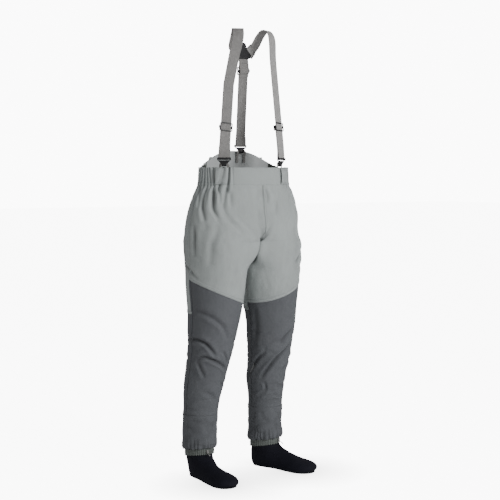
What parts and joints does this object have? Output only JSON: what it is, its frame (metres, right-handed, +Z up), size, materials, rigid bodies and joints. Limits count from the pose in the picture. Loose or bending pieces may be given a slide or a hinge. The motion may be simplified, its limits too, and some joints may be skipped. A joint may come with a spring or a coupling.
{
  "type": "waders",
  "caption": "Stocking-foot wading trousers with clip-on Y-back braces, gathered waist, reinforced legs, gravel guards and neoprene socks.",
  "frame": {"origin": "on the ground, at the middle of the model's footprint", "axes": "+Z up along the legs, -Y the way the wearer faces, +X to the wearer's left"},
  "size_m": [0.4482, 0.2686, 1.4875],
  "materials": {
    "light_shell": "light sage-grey waterproof laminate, matt with a faint ripstop weave",
    "dark_shell": "dark grey reinforced laminate, matt",
    "lining": "grey knitted lining side of the laminate",
    "elastic": "grey-green woven elastic, ruched",
    "seam_tape": "smooth heat-bonded seam tape",
    "webbing": "grey woven elastic webbing",
    "neoprene": "black jersey-faced neoprene, matt",
    "sock_sole": "black textured neoprene sole",
    "plastic": "black moulded acetal, satin",
    "yoke": "black synthetic patch, matt",
    "steel": "plain steel wire"
  },
  "bodies": {
    "waders": {"right_seat_front": "light_shell", "right_seat_back": "light_shell", "right_thigh_front": "light_shell", "right_thigh_back": "light_shell", "right_front_belt_loop": "light_shell", "right_back_belt_loop": "light_shell", "left_seat_front": "light_shell", "left_seat_back": "light_shell", "left_thigh_front": "light_shell", "left_thigh_back": "light_shell", "left_front_belt_loop": "light_shell", "left_back_belt_loop": "light_shell", "front_waistband": "light_shell", "right_waistband": "light_shell", "left_waistband": "light_shell", "back_waistband": "light_shell", "right_leg_front": "dark_shell", "right_leg_back": "dark_shell", "right_gravel_guard": "dark_shell", "left_leg_front": "dark_shell", "left_leg_back": "dark_shell", "left_gravel_guard": "dark_shell", "waist_facing": "lining", "right_ankle_sleeve": "lining", "left_ankle_sleeve": "lining", "right_waist_elastic": "elastic", "left_waist_elastic": "elastic", "front_seam_tape": "seam_tape", "back_seam_tape": "seam_tape", "right_inseam_tape": "seam_tape", "left_inseam_tape": "seam_tape", "right_sock_seam_tape": "seam_tape", "left_sock_seam_tape": "seam_tape", "right_shoulder_strap": "webbing", "left_shoulder_strap": "webbing", "right_strap_return": "webbing", "left_strap_return": "webbing", "back_strap": "webbing", "right_clip_loop": "webbing", "left_clip_loop": "webbing", "back_clip_loop": "webbing", "right_sock_upper": "neoprene", "left_sock_upper": "neoprene", "right_sock_sole": "sock_sole", "left_sock_sole": "sock_sole", "outer_yoke": "yoke", "inner_yoke": "yoke"},
    "right_adjuster": {"right_adjuster": "plastic"},
    "left_adjuster": {"left_adjuster": "plastic"},
    "back_adjuster": {"back_adjuster": "plastic", "back_strap_tail": "webbing"},
    "right_clip": {"right_clip": "plastic"},
    "left_clip": {"left_clip": "plastic"},
    "back_clip": {"back_clip": "plastic"},
    "right_cuff": {"right_guard_cuff": "elastic", "right_lace_hook_tab": "webbing"},
    "left_cuff": {"left_guard_cuff": "elastic", "left_lace_hook_tab": "webbing"},
    "right_lace_hook": {"right_lace_hook": "steel"},
    "left_lace_hook": {"left_lace_hook": "steel"}
  },
  "joints": [
    {"name": "right_adjuster_slide", "type": "slide", "parent": "waders", "child": "right_adjuster", "axis": [0.1254, 0.0741, 0.9893], "range_m": [-0.028, 0.1], "deforming": ["right_strap_return"]},
    {"name": "left_adjuster_slide", "type": "slide", "parent": "waders", "child": "left_adjuster", "axis": [-0.0004, 0.1522, 0.9883], "range_m": [-0.03, 0.1], "deforming": ["left_strap_return"]},
    {"name": "back_adjuster_slide", "type": "slide", "parent": "waders", "child": "back_adjuster", "axis": [-0.0756, -0.1836, 0.9801], "range_m": [-0.12, 0]},
    {"name": "right_clip_tilt", "type": "hinge", "parent": "waders", "child": "right_clip", "pos_m": [-0.13306, -0.06079, 1.0615], "axis": [0.8039, -0.5948, 0], "range_deg": [-10, 12], "deforming": ["right_clip_loop"]},
    {"name": "left_clip_tilt", "type": "hinge", "parent": "waders", "child": "left_clip", "pos_m": [0.08059, -0.07917, 1.0615], "axis": [0.9176, 0.3975, 0], "range_deg": [-10, 12], "deforming": ["left_clip_loop"]},
    {"name": "back_clip_tilt", "type": "hinge", "parent": "waders", "child": "back_clip", "pos_m": [0.02828, 0.0797, 1.1075], "axis": [-0.9924, 0.1232, 0], "range_deg": [-6, 18], "deforming": ["back_clip_loop"]},
    {"name": "right_cuff_lift", "type": "slide", "parent": "waders", "child": "right_cuff", "axis": [0, 0, 1], "range_m": [0, 0.06], "deforming": ["right_gravel_guard"]},
    {"name": "left_cuff_lift", "type": "slide", "parent": "waders", "child": "left_cuff", "axis": [0, 0, 1], "range_m": [0, 0.06], "deforming": ["left_gravel_guard"]},
    {"name": "right_lace_hook_swing", "type": "hinge", "parent": "right_cuff", "child": "right_lace_hook", "pos_m": [-0.1491, 0.01441, 0.0905], "axis": [0.9976, -0.0698, 0], "range_deg": [-50, 25]},
    {"name": "left_lace_hook_swing", "type": "hinge", "parent": "left_cuff", "child": "left_lace_hook", "pos_m": [0.14653, 0.01847, 0.0905], "axis": [0.9272, 0.3746, 0], "range_deg": [-50, 25]}
  ]
}
